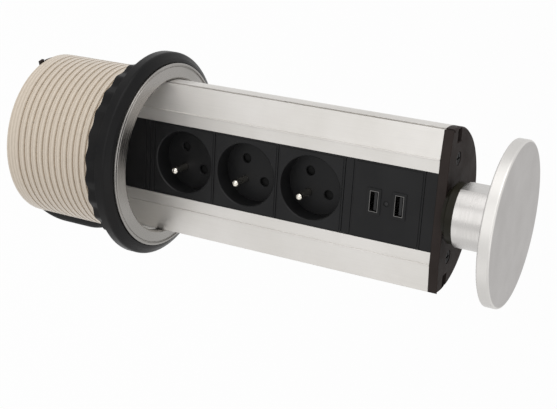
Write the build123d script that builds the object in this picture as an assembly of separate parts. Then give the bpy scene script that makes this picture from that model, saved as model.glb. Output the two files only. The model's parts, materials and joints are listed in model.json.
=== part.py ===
# A pop-up desk socket: a threaded sleeve with a screw collar that sits in a hole of a worktop, and a
# D-shaped aluminium tower that a knob pulls up out of it. The tower carries three sockets with a round
# earth pin and a charging module with two ports. A power cord leaves its lower end.
# Frame: millimetres, +Z up along the tower, the sockets face -Y. The origin is the middle of the flange's
# underside, which rests on the worktop. The tower is drawn fully pulled up.
import math
import os

from build123d import *

# Module grid: square modules of one pitch stand in a row along the tower.
module_pitch = 45.0
socket_count = 3
first_socket_z = 27.8
module_gap = 0.4
module_side_extra = 1.4
module_half_width = module_pitch / 2 + module_side_extra
module_plate = 2.6
module_rim = 1.2
module_rim_drop = 0.5
module_proud = 0.3

# Front of the aluminium tower, and the plane of the modules' faces before it.
tower_front_y = -9.0
face_y = tower_front_y - module_proud

# Socket recess, pin holes and earth pin.
recess_margin = 2.34
recess_radius = module_pitch / 2 - recess_margin
recess_depth = 14.0
recess_floor = 2.0
recess_wall = 1.8
recess_chamfer = 0.6
hole_spacing = 19.0
hole_radius = 2.8
hole_chamfer = 0.5
earth_offset = 10.0
earth_radius = 2.4
earth_hole_play = 0.1
earth_hole_radius = earth_radius + earth_hole_play
earth_proud = 0.6
earth_tip_y = face_y - earth_proud
earth_ring_radius = 3.4
earth_ring_length = 1.2
pair_turn = 45.0

# Shutter, a bow-tie plate that turns on a stub behind the recess floor.
stub_radius = 1.0
stub_length = 3.6
shutter_play = 0.05
shutter_bore = stub_radius + shutter_play
shutter_hub = 2.3
shutter_gap = 0.6
shutter_thickness = 1.6
shutter_reach = 13.2
shutter_point = 13.7
shutter_half_angle = 19.5

# Socket base with its two sprung contacts.
base_side_gap = 1.9
base_half_width = module_half_width - base_side_gap
base_end_gap = 0.9
base_half_length = module_pitch / 2 - base_end_gap
base_joint_gap = 0.3
base_front_y = face_y + recess_depth + recess_floor + base_joint_gap
base_depth = 27.0
base_wall = 1.8
earth_reach = 17.0
earth_root_y = base_front_y + earth_reach
contact_set_back = 4.2
contact_front_y = base_front_y + contact_set_back
contact_length = 15.0
contact_outer = 3.3
contact_inner = 2.5
contact_slit = 0.8
contact_tail_width = 5.0
contact_tail_thickness = 1.0
base_slot_clearance = 0.4
base_back_y = base_front_y + base_depth

# Bars that join the sockets behind their bases.
bar_width = 5.0
bar_thickness = 1.2
bar_gap = 0.6
bar_overrun = 14.0
earth_bar_x = 15.5

# Charging module, above the sockets and a narrow cover.
middle_cover_length = 5.35
charger_z = first_socket_z + socket_count * module_pitch + middle_cover_length
port_spacing = 16.0
port_width = 13.1
port_height = 5.7
port_wall = 0.4
port_depth = 13.6
port_proud = 0.2
port_frame_wall = 1.6
port_frame_proud = 0.5
tongue_width = 11.2
tongue_thickness = 1.7
tongue_set_back = 1.0
tongue_shift = 0.8
light_radius = 1.1
light_collar_radius = 1.9
charger_back_room = 2.9
board_thickness = 1.6
board_side_play = 2.2
board_end_play = 2.8
board_half_width = base_half_width - base_wall - board_side_play
board_half_length = base_half_length - base_wall - board_end_play
capacitor_radius = 5.0
capacitor_height = 9.0
capacitor_places = ((-9.0, -6.0), (9.0, 6.0))
chip_size = 9.0
chip_height = 3.5
chip_place = (-9.0, 9.0)

# Aluminium tower: its round back leaves room for the wiring behind the bases.
wiring_room = 16.0
tower_radius = base_back_y + wiring_room
tower_wall = 2.0
upper_cover_length = 7.35
tower_top = charger_z + module_pitch / 2 + upper_cover_length
slot_fit = 0.2
slot_half_width = module_half_width + slot_fit
rail_thickness = 1.6
rail_depth = 11.0
ridge_set_out = 7.9
ridge_x = slot_half_width + ridge_set_out
ridge_half_width = 0.7
ridge_height = 0.6
corner_set_back = 2.4
corner_y = tower_front_y + corner_set_back
groove_set_back = 1.6
groove_y = corner_y + groove_set_back
groove_width = 2.6
groove_depth = 1.7

# Strip covers between the modules.
cover_gap = 0.2
cover_thickness = 2.6
cover_line_offsets = (3.0, 6.2)
cover_line_width = 0.7
cover_line_depth = 0.6

# Top cap with its screws.
cap_thickness = 5.7
cap_chamfer = 1.0
cap_spigot = 7.0
cap_spigot_wall = 2.0
cap_fit = 0.2
cap_pocket_edge = 5.2
cap_pocket_x = tower_radius - cap_pocket_edge
cap_pocket_y = 5.0
cap_pocket_width = 8.2
cap_pocket_length = 7.0
cap_pocket_depth = 2.4
cap_screw_side_room = 4.7
cap_front_screw_y = 7.5
cap_front_screw_x = slot_half_width + rail_thickness + cap_screw_side_room
cap_back_screw_edge = 8.0
cap_back_screw_y = tower_radius - cap_back_screw_edge
screw_head_radius = 4.0
screw_head_height = 2.4
screw_shank_radius = 1.7
screw_length = 12.0
screw_slot_width = 1.1
screw_slot_length = 5.2
screw_slot_depth = 1.4
screw_head_sink = 0.3
post_radius = 4.6
post_length = 12.0

# Knob: a black boss on a narrower foot, a round neck with two flats and the disc that closes the opening.
boss_foot_radius = 14.0
boss_foot_height = 2.8
boss_radius = 18.6
boss_height = 5.4
boss_chamfer = 0.8
neck_radius = 19.8
neck_flat_x = 17.6
neck_height = 24.4
disc_play = 1.45
disc_thickness = 7.2
disc_front_fillet = 1.3
disc_back_fillet = 0.8
knob_screw_radius = 2.4
knob_screw_head_radius = 4.4
knob_screw_head_height = 3.2
knob_screw_depth = 16.0
knob_screw_x = 9.0
knob_screw_y = 3.0

# Sleeve with a screw thread.
sleeve_bottom = -79.5
sleeve_play = 0.6
sleeve_bore = tower_radius + sleeve_play
sleeve_wall = 3.6
sleeve_crest = sleeve_bore + sleeve_wall
sleeve_neck_wall = 2.4
sleeve_neck_radius = sleeve_bore + sleeve_neck_wall
sleeve_neck_height = 6.0
thread_pitch = 4.8
thread_depth = 1.1
thread_root_width = 0.9
thread_crest_width = 1.5
thread_low_margin = 6.5
thread_start = sleeve_bottom + thread_low_margin
thread_end = -2.2
thread_play = 0.3
thread_over = 0.5
rib_fit = 0.3
rib_width = groove_width - 2 * rib_fit
rib_groove_play = 1.0
rib_height = groove_depth + sleeve_play - rib_groove_play
sleeve_chamfer = 0.6

# Bottom cap with stop tabs that meet the sleeve's lower end at full height.
foot_gap = 0.3
tower_bottom = sleeve_bottom - foot_gap
foot_thickness = 4.2
foot_overlap = 1.6
foot_rim = sleeve_bore + foot_overlap
foot_tab_overlap = 1.0
foot_tab_thickness = 1.8
foot_tab_radius = sleeve_crest + foot_tab_overlap
foot_tab_half_angle = 2.0
foot_tab_angles = (197.5, 90.0, 17.0)
foot_spigot = 8.0

# Felt pads that steady the tower in the sleeve.
pad_thickness = 0.35
pad_half_angle = 7.0
pad_height = 22.0
pad_top = 4.0
pad_angles = (35.0, 90.0, 145.0)

# Collar and its bright trim ring.
flange_overhang = 12.8
flange_radius = sleeve_crest + flange_overhang
flange_rim_height = 6.0
flange_slope_width = 5.0
flange_shoulder_radius = flange_radius - flange_slope_width
flange_slope_rise = 3.5
flange_shoulder_z = flange_rim_height + flange_slope_rise
flange_round = 2.2
seat_edge = 1.3
seat_radius = flange_shoulder_radius - seat_edge
seat_depth = 1.5
seat_z = flange_shoulder_z - seat_depth
trim_fit = 0.3
trim_outer = seat_radius - trim_fit
trim_overhang = 0.15
trim_bore = sleeve_bore - trim_overhang
trim_lip_height = 2.9
trim_lip_z = seat_z + trim_lip_height
trim_lip_width = 1.4
trim_lip_inner = trim_outer - trim_lip_width
trim_groove_side = 0.2
trim_groove_outer = trim_lip_inner - trim_groove_side
trim_groove_floor = 0.5
trim_groove_inner = trim_groove_outer - trim_groove_floor
trim_groove_depth = 0.7
trim_groove_z = trim_lip_z - trim_groove_depth
trim_bevel_drop = 0.3
trim_bevel_low_z = trim_lip_z - trim_bevel_drop
trim_crown_width = 1.05
trim_crown_radius = trim_bore + trim_crown_width
trim_crown_rise = 1.2
trim_crown_z = trim_lip_z + trim_crown_rise
trim_edge_drop = 0.6
trim_edge_z = trim_crown_z - trim_edge_drop
trim_lip_round = 0.35
disc_radius = trim_bore - disc_play

# Slip washer and wavy screw collar below the flange.
washer_gap = 0.3
washer_thickness = 2.0
washer_play = 0.3
washer_bore = sleeve_crest + washer_play
washer_width = 6.1
washer_outer = washer_bore + washer_width
nut_gap = 0.3
nut_height = 9.6
nut_play = 0.4
nut_bore = sleeve_crest + nut_play
nut_wall = 4.0
nut_waist_radius = nut_bore + nut_wall
nut_wave = 1.6
nut_lobe_radius = nut_waist_radius + nut_wave
nut_lobe_count = 26
nut_turns = 1.5
nut_edge = 0.6

# Cord, gland and inlet block.
cord_radius = 4.0
gland_x = 0.0
gland_y = 24.0
gland_hex = 17.0
gland_hex_height = 4.4
gland_dome_radius = 7.6
gland_tip_radius = 5.6
gland_dome_height = 3.8
gland_play = 0.05
gland_bore = cord_radius + gland_play
gland_neck_radius = 7.0
inlet_block_size = (24.0, 14.0, 18.0)
inlet_block_rise = 31.8
inlet_block_z = tower_bottom + inlet_block_rise
inlet_screw_radius = 1.8
inlet_screw_sink = 2.0
inlet_pole_count = 3
inlet_pole_pitch = 7.0

# The coil lies behind the sleeve: it winds in through one layer and out again through the other.
coil_x = 39.0
coil_y = 68.0
coil_z = -106.0
coil_first_radius = 50.0
coil_step = 4.35
coil_layer_gap = 8.7
coil_end_length = 8.0
coil_half_count = 4
coil_sample_count = 60

# Free stretch from the gland to the coil, and from the coil to the plug: corner points of the route.
# Each is given from the point where the stretch begins.
lead_points = (
    (0.0, 0.0, 0.0),
    (0.0, 0.0, -27.5),
    (13.5, 7.0, -50.0),
    (37.0, 18.5, -62.0),
    (74.0, 36.5, -63.0),
    (89.0, 44.0, -45.5),
    (89.0, 44.0, -22.0),
)
tail_points = (
    (0.0, 0.0, 0.0),
    (0.0, 0.0, -17.5),
    (9.0, 5.5, -33.0),
    (26.0, 12.5, -42.5),
    (44.0, 12.5, -42.5),
)
arc_share = 0.45

# Tie round the coil.
tie_width = 4.8
tie_thickness = 1.2
tie_play = 0.7
tie_head = (6.0, 5.0, 8.0)

# Plug with a side entry for the cord.
plug_radius = 19.0
plug_thickness = 27.0
plug_round = 2.0
plug_front_step_radius = 18.2
plug_front_step = 3.0
plug_boot_length = 18.0
plug_boot_root = 7.2
plug_boot_tip = 5.4
plug_boot_from_front = 19.0
plug_boot_ring_count = 4
plug_boot_first_ring = 2.6
plug_ring_pitch = 3.3
plug_ring_width = 1.2
plug_ring_depth = 0.7
plug_pin_radius = 2.4
plug_pin_length = 19.0
plug_pin_spacing = 19.0
plug_pin_root = 6.0
plug_pin_root_radius = 1.9
plug_pin_step = 0.3
plug_pin_nose = 1.2
plug_pin_tip_radius = 1.2
plug_earth_radius = 2.6
plug_earth_depth = 16.0
plug_clip_width = 7.0
plug_clip_thickness = 0.8
plug_clip_length = 11.0

# Small overlap of solids that are joined, and overrun of solids that cut.
lap = 0.01
past = 1.0

LOW = (Align.CENTER, Align.CENTER, Align.MIN)
parts = {}


def tube(outer, inner, z_low, z_high):
    """A ring between two heights."""
    height = z_high - z_low
    return Pos(0, 0, z_low) * (Cylinder(outer, height, align=LOW) - Cylinder(inner, height, align=LOW))


def rod(radius, z_low, z_high, x=0, y=0):
    """A round bar along Z."""
    return Pos(x, y, z_low) * Cylinder(radius, z_high - z_low, align=LOW)


def y_plane(x, y, z):
    """A plane through a point that faces +Y."""
    return Plane(origin=(x, y, z), x_dir=(1, 0, 0), z_dir=(0, 1, 0))


def y_rod(radius, y_low, y_high, x=0, z=0):
    """A round bar along Y."""
    return y_plane(x, y_low, z) * Cylinder(radius, y_high - y_low, align=LOW)


def y_cone(radius_low, radius_high, y_low, length, x=0, z=0):
    """A cone along Y with its first radius at y_low."""
    return y_plane(x, y_low, z) * Cone(radius_low, radius_high, length, align=LOW)


def block(x_low, x_high, y_low, y_high, z_low, z_high):
    """A box between two corners."""
    return Pos((x_low + x_high) / 2, (y_low + y_high) / 2, (z_low + z_high) / 2) * Box(
        x_high - x_low, y_high - y_low, z_high - z_low
    )


def turned(points):
    """A solid turned about Z from a closed outline of (radius, z) points."""
    return revolve(Plane.XZ * make_face(Polyline(*points, close=True)), Axis.Z)


def spread(angle, radius):
    """A point at an angle on a circle about Z."""
    return radius * math.cos(math.radians(angle)), radius * math.sin(math.radians(angle))


def wedge(angle, half_angle, radius):
    """A flat wedge from the axis that reaches past a radius."""
    reach = 2 * radius
    return make_face(
        Polyline((0, 0), spread(angle - half_angle, reach), spread(angle + half_angle, reach), close=True)
    )


def keep(name, *shapes):
    """Files one named piece, made of one or more solids."""
    solids = [solid for shape in shapes for solid in shape.solids()]
    parts[name] = solids[0] if len(solids) == 1 else Compound(children=solids)


# Tower section: a round back, a flat front with a slot, a bead along each flange and a guide groove in
# each front corner.
def section(radius, fit=0.0):
    """The tower's outline in the XY plane, drawn in by fit all round."""
    edge = radius - fit
    front = tower_front_y + fit
    corner = corner_y + fit
    corner_x = math.sqrt(edge**2 - corner**2)
    wide = radius + past
    body = Circle(edge) & make_face(
        Polyline(
            (-wide, wide), (-wide, corner), (-corner_x, corner), (-ridge_x, front), (ridge_x, front),
            (corner_x, corner), (wide, corner), (wide, wide), close=True,
        )
    )
    for side in (-1, 1):
        body -= Pos(side * (tower_radius - groove_depth / 2 + fit / 2), groove_y) * Rectangle(
            groove_depth + fit + past / 2, groove_width + 2 * fit
        )
    return body


def tower_profile():
    """The aluminium extrusion."""
    outline = section(tower_radius)
    hollow = Circle(tower_radius - tower_wall) & make_face(
        Polyline(
            (-tower_radius, tower_radius), (-tower_radius, corner_y + tower_wall),
            (-ridge_x, tower_front_y + tower_wall), (ridge_x, tower_front_y + tower_wall),
            (tower_radius, corner_y + tower_wall), (tower_radius, tower_radius), close=True,
        )
    )
    for side in (-1, 1):
        hollow -= Pos(side * (tower_radius - groove_depth - tower_wall / 2), groove_y) * Rectangle(
            tower_wall, groove_width + 2 * tower_wall
        )
    shape = outline - hollow
    for side in (-1, 1):
        rail_x = side * (slot_half_width + rail_thickness / 2)
        shape += Pos(rail_x, tower_front_y + rail_depth / 2 + lap) * Rectangle(rail_thickness, rail_depth)
        bead_x, bead_top = side * ridge_x, tower_front_y - ridge_height
        bead_root = tower_front_y + tower_wall / 4
        shape += make_face(
            Polyline(
                (bead_x - ridge_half_width, bead_root),
                (bead_x - ridge_half_width / 2, bead_top),
                (bead_x + ridge_half_width / 2, bead_top),
                (bead_x + ridge_half_width, bead_root),
                close=True,
            )
        )
    shape -= Pos(0, tower_front_y) * Rectangle(2 * slot_half_width, 2 * tower_wall + past)
    return Pos(0, 0, tower_bottom) * extrude(shape, tower_top - tower_bottom)


keep("tower_profile", tower_profile())


# Sockets.
half_pair = hole_spacing / 2
pair = math.radians(pair_turn)
hole_places = [(s * half_pair * math.cos(pair), s * half_pair * math.sin(pair)) for s in (-1, 1)]
earth_place = (earth_offset * math.cos(pair), -earth_offset * math.sin(pair))
floor_y = face_y + recess_depth
floor_back_y = floor_y + recess_floor
module_half_length = (module_pitch - module_gap) / 2


def module_plate_solid(z):
    """A square face plate with a raised middle."""
    plate = block(
        -module_half_width, module_half_width, face_y + module_rim_drop, face_y + module_plate,
        z - module_half_length, z + module_half_length,
    )
    raised = block(
        -module_half_width + module_rim, module_half_width - module_rim, face_y, face_y + module_plate,
        z - module_half_length + module_rim, z + module_half_length - module_rim,
    )
    return plate + raised


def socket_front(z):
    """The face plate with the round recess, its floor, its holes and the shutter's stub."""
    shape = module_plate_solid(z)
    shape += y_rod(recess_radius + recess_wall, face_y + module_rim_drop, floor_back_y, 0, z)
    shape -= y_rod(recess_radius, face_y - past, floor_y, 0, z)
    shape -= y_cone(recess_radius + recess_chamfer, recess_radius, face_y, recess_chamfer, 0, z)
    for dx, dz in hole_places:
        shape -= y_rod(hole_radius, floor_y - past, floor_back_y + past, dx, z + dz)
        shape -= y_cone(hole_radius + hole_chamfer, hole_radius, floor_y, hole_chamfer, dx, z + dz)
    earth_x, earth_z = earth_place
    shape -= y_rod(earth_hole_radius, floor_y - past, floor_back_y + past, earth_x, z + earth_z)
    return shape + y_rod(stub_radius, floor_back_y - recess_floor / 2, floor_back_y + stub_length, 0, z)


def socket_earth_pin(z):
    """The round earth pin with its rounded tip and a mounting ring at its root."""
    x, z_pin = earth_place[0], z + earth_place[1]
    dome_y = earth_tip_y + earth_radius
    pin = y_rod(earth_radius, dome_y, earth_root_y, x, z_pin)
    pin += Pos(x, dome_y, z_pin) * Sphere(earth_radius)
    ring_y = floor_back_y + shutter_gap
    return pin + y_rod(earth_ring_radius, ring_y, ring_y + earth_ring_length, x, z_pin)


shutter_y = floor_back_y + shutter_gap


def socket_shutter(z):
    """The bow-tie shutter, closed over both holes."""
    reach = make_face(
        Polyline(
            (0, 0), spread(-shutter_half_angle, shutter_reach), spread(0, shutter_point),
            spread(shutter_half_angle, shutter_reach), close=True,
        )
    )
    flat = Circle(shutter_hub) + Rot(0, 0, pair_turn) * reach + Rot(0, 0, pair_turn + 180) * reach
    flat -= Circle(shutter_bore)
    plane = Plane(origin=(0, shutter_y + shutter_thickness, z), x_dir=(1, 0, 0), z_dir=(0, -1, 0))
    return plane * extrude(flat, shutter_thickness)


def housing_solid(z, front_y, back_y):
    """A module's square housing, open at the front."""
    low, high = z - base_half_length, z + base_half_length
    shell = block(-base_half_width, base_half_width, front_y, back_y, low, high)
    inner_width, inner_length = base_half_width - base_wall, base_half_length - base_wall
    low, high = z - inner_length, z + inner_length
    return shell - block(-inner_width, inner_width, front_y - past, back_y - base_wall, low, high)


def socket_base(z):
    """The moulded housing behind the recess, open to the front, with slots for the contacts' tails."""
    shape = housing_solid(z, base_front_y, base_back_y)
    slot_x = contact_tail_width / 2 + base_slot_clearance
    slot_z = contact_tail_thickness / 2 + base_slot_clearance
    for dx, dz in hole_places:
        shape -= block(
            dx - slot_x, dx + slot_x, base_back_y - 2 * base_wall, base_back_y + past,
            z + dz - slot_z, z + dz + slot_z,
        )
    earth_x, earth_z = earth_place
    post_end = base_back_y - base_wall / 2
    return shape + y_rod(earth_radius + base_wall, earth_root_y, post_end, earth_x, z + earth_z)


def socket_contacts(z):
    """Two split tubes that grip the plug's pins, each with a flat tail through the housing's back."""
    found = []
    for dx, dz in hole_places:
        end = contact_front_y + contact_length
        wall = contact_outer - contact_inner
        cup = y_rod(contact_outer, contact_front_y, end, dx, z + dz)
        cup -= y_rod(contact_inner, contact_front_y - past, end - wall, dx, z + dz)
        cup -= block(
            dx - contact_outer - past, dx + contact_outer + past,
            contact_front_y - past, end - contact_length / 3,
            z + dz - contact_slit / 2, z + dz + contact_slit / 2,
        )
        tail = block(
            dx - contact_tail_width / 2, dx + contact_tail_width / 2, end - lap, base_back_y + bar_gap,
            z + dz - contact_tail_thickness / 2, z + dz + contact_tail_thickness / 2,
        )
        found.append(cup + tail)
    return found


socket_rows = [first_socket_z + k * module_pitch for k in range(socket_count)]
for number, row_z in enumerate(socket_rows, start=1):
    keep(f"socket_{number}_front", socket_front(row_z))
    keep(f"socket_{number}_earth_pin", socket_earth_pin(row_z))
    keep(f"socket_{number}_shutter", socket_shutter(row_z))
    keep(f"socket_{number}_base", socket_base(row_z))
    keep(f"socket_{number}_contacts", *socket_contacts(row_z))

# Bars behind the bases: one for each pole and one for earth.
bar_low = socket_rows[0] - base_half_length - bar_overrun
bar_high = socket_rows[-1] + base_half_length
bar_y = base_back_y + bar_gap
bar_places = {"neutral_bar": hole_places[0][0], "live_bar": hole_places[1][0], "earth_bar": earth_bar_x}
for name, x in bar_places.items():
    left, right = x - bar_width / 2, x + bar_width / 2
    keep(name, block(left, right, bar_y, bar_y + bar_thickness, bar_low, bar_high))


# Charging module: face, housing, two ports with their tongues, a light and a circuit board.
port_rows = [charger_z - port_spacing / 2, charger_z + port_spacing / 2]
face = module_plate_solid(charger_z)
for z in port_rows:
    grow = port_frame_wall
    face += block(
        -port_width / 2 - grow, port_width / 2 + grow, face_y - port_frame_proud, face_y + module_plate,
        z - port_height / 2 - grow, z + port_height / 2 + grow,
    )
    face -= block(
        -port_width / 2, port_width / 2, face_y - past, face_y + module_plate + past,
        z - port_height / 2, z + port_height / 2,
    )
face -= y_rod(light_radius, face_y - past, face_y + module_plate + past, 0, charger_z)
face -= y_rod(light_collar_radius, face_y - past, face_y + module_rim_drop, 0, charger_z)
keep("charger_front", face)
port_y = face_y - port_frame_proud + port_proud
board_y = port_y + port_depth
half_width, half_height = port_width / 2, port_height / 2


def port_shell(z):
    """The thin metal shell of one port, closed at its back."""
    shell = block(-half_width, half_width, port_y, board_y, z - half_height, z + half_height)
    return shell - block(
        -half_width + port_wall, half_width - port_wall, port_y - past, board_y - port_wall,
        z - half_height + port_wall, z + half_height - port_wall,
    )


def port_tongue(z):
    """The flat tongue inside one port, nearer its upper side."""
    middle = z + tongue_shift
    return block(
        -tongue_width / 2, tongue_width / 2, port_y + tongue_set_back, board_y - port_wall,
        middle - tongue_thickness / 2, middle + tongue_thickness / 2,
    )


keep("charger_port_shells", *[port_shell(z) for z in port_rows])
keep("charger_port_tongues", *[port_tongue(z) for z in port_rows])
keep("charger_light", y_rod(light_radius, face_y + module_rim_drop / 2, board_y, 0, charger_z))
board_back_y = board_y + board_thickness
board = block(
    -board_half_width, board_half_width, board_y, board_back_y,
    charger_z - board_half_length, charger_z + board_half_length,
)
keep("charger_board", board)
capacitors = [
    y_rod(capacitor_radius, board_back_y, board_back_y + capacitor_height, x, charger_z + dz)
    for x, dz in capacitor_places
]
chip_x, chip_z = chip_place
chip = block(
    chip_x - chip_size / 2, chip_x + chip_size / 2, board_back_y, board_back_y + chip_height,
    charger_z + chip_z - chip_size / 2, charger_z + chip_z + chip_size / 2,
)
keep("charger_components", *capacitors, chip)
charger_back_y = board_back_y + capacitor_height + charger_back_room + base_wall
keep("charger_base", housing_solid(charger_z, face_y + module_plate, charger_back_y))


# Covers that fill the slot below, between and above the modules.
def cover(z_low, z_high, lines=()):
    """A strip cover with fine cross lines, each given from its upper end."""
    front = face_y + module_rim_drop
    shape = block(-module_half_width, module_half_width, front, face_y + cover_thickness, z_low, z_high)
    for offset in lines:
        z = z_high - offset
        shape -= block(
            -module_half_width - past, module_half_width + past, face_y, front + cover_line_depth,
            z - cover_line_width / 2, z + cover_line_width / 2,
        )
    return shape


lower_top = socket_rows[0] - module_pitch / 2 - cover_gap
spacer_low = socket_rows[-1] + module_pitch / 2 + cover_gap
charger_low = charger_z - module_pitch / 2
charger_high = charger_z + module_pitch / 2
keep("lower_strip_cover", cover(tower_bottom + cover_gap, lower_top, cover_line_offsets))
keep("middle_strip_cover", cover(spacer_low, charger_low - cover_gap / 2))
keep("upper_strip_cover", cover(charger_high + cover_gap / 2, tower_top - cover_gap / 2))


# Top cap.
cap_top = tower_top + cap_thickness


cap_sizes = (screw_head_radius, screw_head_height, screw_shank_radius, screw_length)


def screw(x, y, head_z, way, sizes):
    """A cross-recess screw with its head's face at head_z. Its shank points up for way 1, down for -1."""
    head, height, shank, length = sizes
    low, high = sorted((head_z, head_z + way * height))
    shape = rod(head, low, high, x, y)
    low, high = sorted((head_z, head_z + way * length))
    shape += rod(shank, low, high, x, y)
    low, high = sorted((head_z - way * past, head_z + way * screw_slot_depth))
    for wide, long in ((screw_slot_width, screw_slot_length), (screw_slot_length, screw_slot_width)):
        shape -= block(x - wide / 2, x + wide / 2, y - long / 2, y + long / 2, low, high)
    return shape


cap_screws = [(-cap_front_screw_x, cap_front_screw_y), (cap_front_screw_x, cap_front_screw_y)]
cap_screws.append((0, cap_back_screw_y))
plate = Pos(0, 0, tower_top) * extrude(section(tower_radius), cap_thickness)
plate = chamfer(
    plate.edges().group_by(Axis.Z)[-1].filter_by(GeomType.CIRCLE).sort_by(SortBy.LENGTH)[-1:], cap_chamfer
)


def spigot(z_low, height):
    """The rim of an end cap inside the tower's round back, open where the modules and rails are."""
    front_y = groove_y + groove_width / 2 + tower_wall + cap_fit
    outer = Circle(tower_radius - tower_wall - cap_fit) & Pos(0, tower_radius + front_y) * Rectangle(
        3 * tower_radius, 2 * tower_radius
    )
    inner = Circle(tower_radius - tower_wall - cap_fit - cap_spigot_wall) & Pos(
        0, tower_radius + front_y + cap_spigot_wall
    ) * Rectangle(3 * tower_radius, 2 * tower_radius)
    side = slot_half_width + rail_thickness + cap_fit
    gap = block(-side, side, face_y, tower_front_y + rail_depth + cap_fit, z_low, z_low + height)
    return Pos(0, 0, z_low) * extrude(outer - inner, height) - gap


cap = plate + spigot(tower_top - cap_spigot, cap_spigot)
for x, y in cap_screws:
    cap += rod(post_radius, tower_top - post_length, tower_top + lap, x, y)
for x in (-cap_pocket_x, cap_pocket_x):
    cap -= block(
        x - cap_pocket_width / 2, x + cap_pocket_width / 2,
        cap_pocket_y - cap_pocket_length / 2, cap_pocket_y + cap_pocket_length / 2,
        cap_top - cap_pocket_depth, cap_top + past,
    )
cap_head_z = cap_top - screw_head_sink
for x, y in cap_screws:
    cap -= rod(screw_head_radius + cap_fit, cap_head_z - screw_head_height, cap_top + past, x, y)
    cap -= rod(screw_shank_radius, tower_top - post_length - past, cap_top, x, y)
knob_screws = [(s * knob_screw_x, knob_screw_y) for s in (-1, 1)]
for x, y in knob_screws:
    cap -= rod(knob_screw_radius, tower_top - past, cap_top + past, x, y)
keep("top_cap", cap)
keep("top_cap_screws", *[screw(x, y, cap_head_z, -1, cap_sizes) for x, y in cap_screws])

# Knob.
boss_low = cap_top + boss_foot_height
boss_top = boss_low + boss_height
neck_top = boss_top + neck_height
disc_top = neck_top + disc_thickness
boss = rod(boss_radius, boss_low, boss_top)
boss = chamfer(boss.edges().filter_by(GeomType.CIRCLE).group_by(Axis.Z)[0], boss_chamfer)
boss += rod(boss_foot_radius, cap_top, boss_low + lap)
neck = Pos(0, 0, boss_top) * extrude(
    Circle(neck_radius) & Rectangle(2 * neck_flat_x, 3 * neck_radius), neck_height
)
disc = rod(disc_radius, neck_top, disc_top)
disc = fillet(disc.edges().filter_by(GeomType.CIRCLE).group_by(Axis.Z)[-1], disc_front_fillet)
disc = fillet(disc.edges().filter_by(GeomType.CIRCLE).group_by(Axis.Z)[0], disc_back_fillet)
for x, y in knob_screws:
    boss -= rod(knob_screw_radius, cap_top - past, boss_top + past, x, y)
    neck -= rod(knob_screw_radius, boss_top - past, boss_top + knob_screw_depth, x, y)
keep("knob_boss", boss)
keep("knob_neck", neck)
keep("knob_disc", disc)
knob_head_z = tower_top - knob_screw_head_height
knob_screw_length = boss_top + knob_screw_depth - knob_head_z
knob_sizes = (knob_screw_head_radius, knob_screw_head_height, knob_screw_radius, knob_screw_length)
keep("knob_screws", *[screw(x, y, knob_head_z, 1, knob_sizes) for x, y in knob_screws])

# Bottom cap.
foot_top = tower_bottom
foot_bottom = foot_top - foot_thickness
foot_outline = Circle(foot_rim) & Pos(0, foot_rim + tower_front_y) * Rectangle(3 * foot_rim, 2 * foot_rim)
foot = Pos(0, 0, foot_bottom) * extrude(foot_outline, foot_thickness)
for angle in foot_tab_angles:
    tab = Circle(foot_tab_radius) & wedge(angle, foot_tab_half_angle, foot_tab_radius)
    tab_low = foot_top - foot_tab_thickness
    foot += Pos(0, 0, tab_low) * extrude(tab - Circle(foot_rim / 2), foot_tab_thickness)
foot += spigot(foot_top, foot_spigot)
foot_head_z = foot_bottom + screw_head_sink
for x, y in cap_screws:
    foot += rod(post_radius, foot_top - lap, foot_top + post_length, x, y)
    foot -= rod(screw_head_radius + cap_fit, foot_bottom - past, foot_head_z + screw_head_height, x, y)
    foot -= rod(screw_shank_radius, foot_bottom, foot_top + post_length + past, x, y)
foot -= rod(gland_neck_radius, foot_bottom - past, foot_top + past, gland_x, gland_y)
keep("bottom_cap", foot)
keep("bottom_cap_screws", *[screw(x, y, foot_head_z, 1, cap_sizes) for x, y in cap_screws])

# Gland, the cord's length inside it and the inlet block that takes its ends.
gland_low = foot_bottom - gland_hex_height - gland_dome_height
hexagon = Pos(gland_x, gland_y, foot_bottom - gland_hex_height) * extrude(
    RegularPolygon(gland_hex / 2, 6, major_radius=False), gland_hex_height
)
dome = Cone(gland_tip_radius, gland_dome_radius, gland_dome_height, align=LOW)
gland_top = foot_top + foot_thickness
gland = hexagon + Pos(gland_x, gland_y, gland_low) * dome
gland += rod(gland_neck_radius, foot_bottom - lap, gland_top, gland_x, gland_y)
gland -= rod(gland_bore, gland_low - past, gland_top + past, gland_x, gland_y)
keep("cord_gland", gland)
block_x, block_y, block_z = inlet_block_size
inlet = Pos(gland_x, gland_y, inlet_block_z) * Box(block_x, block_y, block_z)
inlet_low = inlet_block_z - block_z / 2
inlet_front_y = gland_y - block_y / 2
inlet_sink_y = inlet_front_y + inlet_screw_sink
for k in range(inlet_pole_count):
    x = gland_x + (k - (inlet_pole_count - 1) / 2) * inlet_pole_pitch
    inlet -= y_rod(inlet_screw_radius, inlet_front_y - past, inlet_sink_y, x, inlet_block_z)
keep("inlet_block", inlet)
keep("cord_inner_length", rod(cord_radius, gland_low, inlet_low, gland_x, gland_y))

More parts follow.
